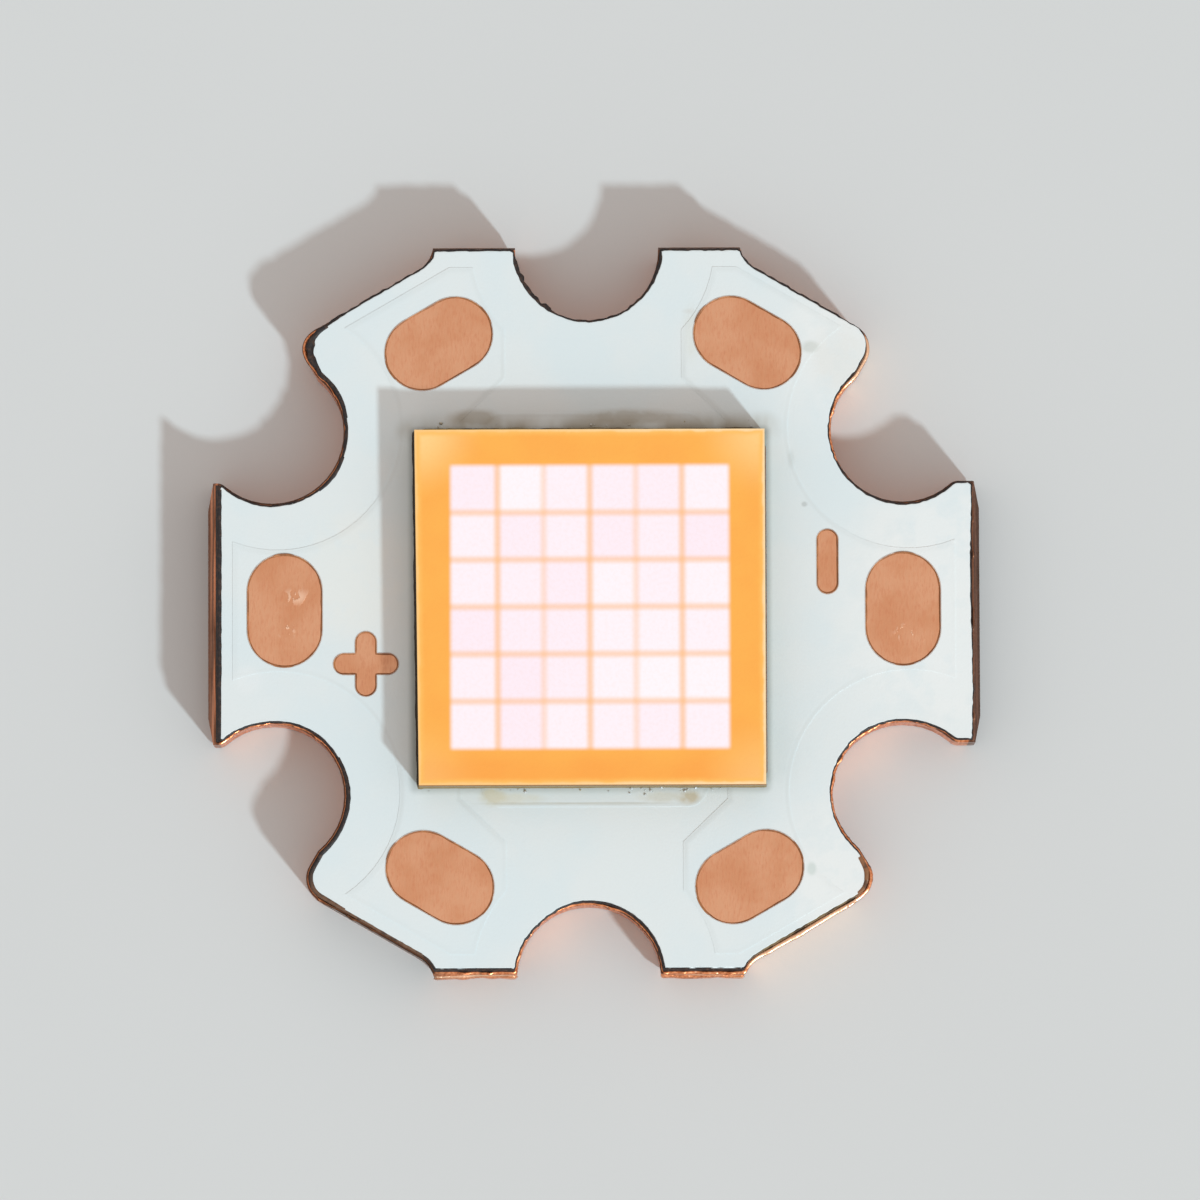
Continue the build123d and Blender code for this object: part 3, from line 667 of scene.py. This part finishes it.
newPiece("rimBurr", *ringSweep(path, out, up), core, "copper")

# Torn copper left standing out where the two front edges were snapped along their score
webLook = {
    "step": 0.02, "seed": 64, "least": 0.03, "most": 0.11, "low": 0.46, "high": 1.20, "depth": 0.12,
    "inset": 0.05, "lowRagged": 0.10, "highRagged": 0.12,
    # steps from one knot of the tear to the next: coarse, fine, and along its upper and lower edge
    "coarse": 30, "fine": 12, "alongEdge": 24,
}
corePoints = meshPoints("copper_core")
frontEdge = corePoints[:, 1].min()
snappedX = corePoints[corePoints[:, 1] < frontEdge + 0.003, 0]
webs = []
for number, ends in enumerate((snappedX[snappedX < 0], snappedX[snappedX > 0])):
    left, right = ends.min() + webLook["inset"], ends.max() - webLook["inset"]
    front, back = frontEdge + 0.01, frontEdge + webLook["depth"]
    path = evenPath(np.array([(left, front), (right, front), (right, back), (left, back)]), webLook["step"])
    count = len(path)
    seed = webLook["seed"] + number
    tear = (0.6 * wobble(count, count // webLook["coarse"], seed)
            + 0.4 * wobble(count, count // webLook["fine"], seed + 9))
    atFront = path[:, 1] < front + 0.01
    reach = np.where(atFront, webLook["least"] + (webLook["most"] - webLook["least"]) * tear, -0.01)
    top = webLook["high"] - webLook["highRagged"] * wobble(count, count // webLook["alongEdge"], seed + 20)
    low = webLook["low"] + webLook["lowRagged"] * wobble(count, count // webLook["alongEdge"], seed + 30)
    out = [-0.04, 0.6 * reach, reach, 0.9 * reach, 0.35 * reach, -0.04]
    up = [low, low, 0.7 * low + 0.3 * top, 0.2 * low + 0.8 * top, top, top]
    webs.append(ringSweep(path, out, up))
newPiece("snappedWeb", *joined(webs), core, "copper")


def barOutline(centre, length, width, *angles):
    # Outline of a bar with half-round ends, or of several that cross, seen from the middle: in each
    # direction the distance is the straight side's, or the round end's where the ray meets that first,
    # and the furthest bar counts.
    around = np.linspace(0, 2 * math.pi, 720, endpoint=False)
    radius = width / 2
    run = length / 2 - radius
    reach = np.zeros(len(around))
    for angle in angles:
        across = np.abs(np.sin(around - math.radians(angle)))
        along = np.abs(np.cos(around - math.radians(angle)))
        side = radius / np.maximum(across, 1e-6)
        end = along * run + np.sqrt(np.maximum(radius ** 2 - (across * run) ** 2, 0))
        reach = np.maximum(reach, np.where(side * along <= run, side, end))
    return np.column_stack([centre[0] + reach * np.cos(around), centre[1] + reach * np.sin(around)])


# Brown line of oxide and resin in the corner between the bare copper and the coat's wall
oxideLook = {
    "padLength": 2.94, "padWidth": 1.95, "markLength": 1.69, "markStroke": 0.56,
    "plusPlace": (-5.90, -1.39), "minusPlace": (6.05, 1.23),
    "width": 0.045, "inCoat": 0.014, "step": 0.04, "stepsPerKnot": 6, "seed": 50,
    "colour": (138, 86, 48), "pale": (176, 116, 70),
}
oxide = Finish("oxideLine")
oxideColour = oxide.blend(oxide.rise(oxide.noise(4, 3), 0.35, 0.7), tint(oxideLook["colour"]),
                          tint(oxideLook["pale"]))
oxide.set(Base_Color=oxideColour, Roughness=0.5)
oxide.bump(oxide.noise(14, 3), 0.01)
openings = []
for mount in frame["record"]["mounts"]:
    if "_pad_" in mount["name"]:
        # a pad lies across the line from the board's middle to it
        x, y = mount["pos_m"][0] / mm, mount["pos_m"][1] / mm
        angle = math.degrees(math.atan2(y, x)) + 90
        openings.append(barOutline((x, y), oxideLook["padLength"], oxideLook["padWidth"], angle))
markSize = oxideLook["markLength"], oxideLook["markStroke"]
openings.append(barOutline(oxideLook["plusPlace"], *markSize, 0, 90))
openings.append(barOutline(oxideLook["minusPlace"], *markSize, 90))
lines = []
for number, outline in enumerate(openings):
    path = evenPath(outline, oxideLook["step"])
    count = len(path)
    ripple = wobble(count, count // oxideLook["stepsPerKnot"], oxideLook["seed"] + number)
    width = oxideLook["width"] * (0.75 + 0.4 * ripple)
    out = [oxideLook["inCoat"], oxideLook["inCoat"], -0.25 * width, -width, -width]
    up = [foilTop, coatHigh + 0.002, coatHigh - 0.005, foilTop + 0.003, foilTop - 0.001]
    lines.append(ringSweep(path, out, up))
newPiece("padOxide", *joined(lines), oxide, "foil")

# Flux and solder squeezed out round the foot of the package, widest at the back; its colour is darkened on the
# left and greyed on the right as painted contact shade, and warmed in front as a painted glow from the film's
# wall
fluxLook = {
    "step": 0.03, "seed": 80, "colour": (84, 72, 50), "pale": (136, 124, 92),
    "shadedLeftColour": (48, 36, 20), "shadedRightColour": (158, 158, 140), "glowingFrontColour": (140, 120, 80),
    "back": 0.13, "front": 0.03, "left": 0.08, "right": 0.03, "height": 0.16, "foot": 1.59, "tuck": 0.03,
    "lobes": 70, "drips": 300, "waves": 200,
}
flux = Finish("driedFluxAndPaintedShade")
fluxAndShadeColour = flux.blend(flux.rise(flux.noise(2.2, 3), 0.35, 0.65), tint(fluxLook["colour"]),
                        tint(fluxLook["pale"]))
# painted shade on the left and right, and a painted glow in front, over the flux colour
for position, start, end, name in ((flux.x, packageLow[0] + 0.15, packageLow[0] + 0.05, "shadedLeftColour"),
                                   (flux.x, packageHigh[0] - 0.10, packageHigh[0], "shadedRightColour"),
                                   (flux.y, packageLow[1] + 0.10, packageLow[1], "glowingFrontColour")):
    fluxAndShadeColour = flux.blend(flux.rise(position, start, end), fluxAndShadeColour, tint(fluxLook[name]))
flux.set(Base_Color=fluxAndShadeColour, Roughness=0.4)
flux.bump(flux.noise(16, 3), 0.012)
packageFoot = np.array([(packageHigh[0], packageLow[1]), (packageHigh[0], packageHigh[1]),
                        (packageLow[0], packageHigh[1]), (packageLow[0] + filmLook["sawTaper"], packageLow[1])])
path = evenPath(packageFoot, fluxLook["step"])
count = len(path)
onBack = path[:, 1] > packageHigh[1] - 0.01
onFront = path[:, 1] < packageLow[1] + 0.01
sideWidth = np.where(path[:, 0] < 0, fluxLook["left"], fluxLook["right"])
width = np.where(onBack, fluxLook["back"], np.where(onFront, fluxLook["front"], sideWidth))
nearSide = np.minimum(np.abs(path[:, 0] - packageLow[0]), np.abs(path[:, 0] - packageHigh[0])) < 0.15
width = smoothed(np.where(onBack & nearSide, sideWidth, width), 9)
width = width * (0.75 + 0.3 * wobble(count, fluxLook["lobes"], fluxLook["seed"])
                 + 0.12 * wobble(count, fluxLook["drips"], fluxLook["seed"] + 1))
height = fluxLook["height"] * (0.35 + 0.65 * wobble(count, fluxLook["waves"], fluxLook["seed"] + 2))
out = [-fluxLook["tuck"], width, width, 0.4 * width, 0.004, -fluxLook["tuck"]]
up = [fluxLook["foot"], fluxLook["foot"], coatHigh + 0.006, coatHigh + 0.35 * height, coatHigh + height,
      coatHigh + height]
newPiece("fluxFootAndShade", *ringSweep(path, out, up), flux, "solder")

# Loose beads of solder and flux beside the package: in front, behind, and in a heap
beadLook = {
    "seed": 7, "smallest": 0.012, "largest": 0.045, "frontCount": 14, "backCount": 12, "heapCount": 12,
    "fromCorner": 0.3, "frontFrom": 0.02, "frontTo": 0.13, "backFrom": 0.13, "backTo": 0.32,
    "heap": (1.75, -4.68), "heapSpread": (0.55, 0.06), "rings": 7, "segments": 10,
    "metal": (196, 198, 198), "amber": (166, 150, 112),
}
bead = Finish("looseBeads")
beadColour = bead.blend(bead.rise(bead.noise(2.2, 2), 0.50, 0.68), tint(beadLook["metal"]),
                        tint(beadLook["amber"]))
bead.set(Base_Color=beadColour, Roughness=0.3, Metallic=0.3)
bead.bump(bead.noise(20, 3), 0.01)
rng = np.random.default_rng(beadLook["seed"])
frontCount, backCount, heapCount = beadLook["frontCount"], beadLook["backCount"], beadLook["heapCount"]
heap, spread = beadLook["heap"], beadLook["heapSpread"]
left, right = packageLow[0] + beadLook["fromCorner"], packageHigh[0] - beadLook["fromCorner"]
beadX = np.concatenate([rng.uniform(left, right, frontCount + backCount),
                        heap[0] + rng.normal(0, spread[0], heapCount)])
beadY = np.concatenate([packageLow[1] - rng.uniform(beadLook["frontFrom"], beadLook["frontTo"], frontCount),
                        packageHigh[1] + rng.uniform(beadLook["backFrom"], beadLook["backTo"], backCount),
                        heap[1] + rng.normal(0, spread[1], heapCount)])
beadSize = beadLook["smallest"] + (beadLook["largest"] - beadLook["smallest"]) * rng.random(len(beadX)) ** 2


def beadHeap(places, size, rings, segments):
    # Squat uneven balls, all at once. A ball's point at latitude a and longitude b lies at
    # size * (cos a cos b, cos a sin b, 0.7 sin a), its radius waving with 2b and 3b; each pole is one
    # point.
    a = np.linspace(-math.pi / 2, math.pi / 2, rings + 2)[1:-1, None]
    b = np.linspace(0, 2 * math.pi, segments, endpoint=False)[None, :]
    phase = size[:, None, None] * 4000
    wave = 1 + 0.16 * np.sin(2 * b + phase) + 0.10 * np.sin(3 * b + 2 * phase)
    balls = np.stack([np.cos(a) * np.cos(b) * wave, np.cos(a) * np.sin(b) * wave,
                      0.7 * np.sin(a) * np.ones_like(wave)], axis=-1).reshape(len(size), -1, 3)
    poles = np.broadcast_to([[0, 0, -0.7], [0, 0, 0.7]], (len(size), 2, 3))
    balls = np.concatenate([balls, poles], axis=1)
    points = balls * size[:, None, None] + places[:, None, :]
    i, j = np.meshgrid(np.arange(rings - 1), np.arange(segments), indexing="ij")
    nextJ = (j + 1) % segments
    quads = np.stack([i * segments + j, i * segments + nextJ, (i + 1) * segments + nextJ,
                      (i + 1) * segments + j], axis=-1).reshape(-1, 4)
    here = np.arange(segments)
    ahead = (here + 1) % segments
    lastRing, bottom = (rings - 1) * segments, rings * segments
    caps = np.vstack([np.column_stack([ahead, here, np.full(segments, bottom)]),
                      np.column_stack([lastRing + here, lastRing + ahead, np.full(segments, bottom + 1)])])
    triangles = np.vstack([quads[:, [0, 1, 2]], quads[:, [0, 2, 3]], caps])
    starts = np.arange(len(size)) * points.shape[1]
    return points.reshape(-1, 3), (triangles[None, :, :] + starts[:, None, None]).reshape(-1, 3)


beadPlaces = np.column_stack([beadX, beadY, coatHigh + 0.4 * beadSize])
newPiece("looseBeads", *beadHeap(beadPlaces, beadSize, beadLook["rings"], beadLook["segments"]), bead, "solder")

# Floor, light and camera
studio = {
    "floorColour": (211, 214, 214), "floorDark": (208, 211, 211), "floorReach": 3000.0,
    "ambientColour": (0.700, 0.636, 0.606), "backdrop": (222, 222, 221),
    "keyColour": (0.785, 0.935, 1.0), "keyStrength": 2.3, "keyFrom": (0.96, -1.19, 1.00), "keySoftness": 4.0,
    # the camera's frame, in the photo's pixels
    "imageWidth": 1200, "pixelsPerMm": 38.65,
    "distance": 260.0, "tilt": 4.5, "turn": -0.2, "aim": (0.088, 0.247, 1.65), "sensor": 36.0,
    "clipNear": 10.0, "clipFar": 10000.0,
}
scene = bpy.context.scene
paleFloor = Finish("paleFloor")
floorColour = paleFloor.blend(paleFloor.noise(0.08, 3), tint(studio["floorDark"]), tint(studio["floorColour"]))
paleFloor.set(Base_Color=floorColour, Roughness=0.8, Specular_IOR_Level=0.2)
half = studio["floorReach"] * mm
floorCorners = [(-half, -half, 0), (half, -half, 0), (half, half, 0), (-half, half, 0)]
floorMesh = bpy.data.meshes.new("floor")
floorMesh.from_pydata(floorCorners, [], [(0, 1, 2, 3)])
floorMesh.materials.append(paleFloor.material)
floor = bpy.data.objects.new("floor", floorMesh)
scene.collection.objects.link(floor)

# the world lights with its ambient colour, and shows the backdrop to the camera and in reflections
world = bpy.data.worlds.new("studio")
scene.world = world
world.use_nodes = True
sky = world.node_tree
sky.nodes.clear()
rays = addNode(sky, "ShaderNodeLightPath").outputs
seen = addNode(sky, "ShaderNodeMath", {0: rays["Is Camera Ray"], 1: rays["Is Glossy Ray"]}, operation="ADD")
seen = addNode(sky, "ShaderNodeMath", {0: seen.outputs[0], 1: rays["Is Transmission Ray"]}, operation="ADD",
               use_clamp=True)
ambient = addNode(sky, "ShaderNodeBackground", {"Color": (*studio["ambientColour"], 1)})
backdrop = addNode(sky, "ShaderNodeBackground", {"Color": tint(studio["backdrop"])})
surface = addNode(sky, "ShaderNodeMixShader",
                  {0: seen.outputs[0], 1: ambient.outputs[0], 2: backdrop.outputs[0]})
addNode(sky, "ShaderNodeOutputWorld", {"Surface": surface.outputs[0]})

keyLamp = bpy.data.lights.new("key", "SUN")
keyLamp.energy = studio["keyStrength"]
keyLamp.color = studio["keyColour"]
keyLamp.angle = math.radians(studio["keySoftness"])
key = bpy.data.objects.new("key", keyLamp)
keyX, keyY, keyZ = studio["keyFrom"]
key.rotation_euler = (math.atan2(math.hypot(keyX, keyY), keyZ), 0, math.atan2(keyX, -keyY))
scene.collection.objects.link(key)

lens = bpy.data.cameras.new("camera")
lens.sensor_width = studio["sensor"]
lens.lens = studio["sensor"] * studio["distance"] * studio["pixelsPerMm"] / studio["imageWidth"]
lens.clip_start, lens.clip_end = studio["clipNear"] * mm, studio["clipFar"] * mm
camera = bpy.data.objects.new("camera", lens)
tilt = math.radians(studio["tilt"])
toCamera = studio["distance"] * np.array([0, -math.sin(tilt), math.cos(tilt)])
camera.location = (np.array(studio["aim"]) + toCamera) * mm
camera.rotation_euler = (tilt, 0, math.radians(studio["turn"]))
scene.collection.objects.link(camera)
bpy.context.scene.camera = camera
scene.view_settings.view_transform = "Standard"
print("floor, light and camera done")
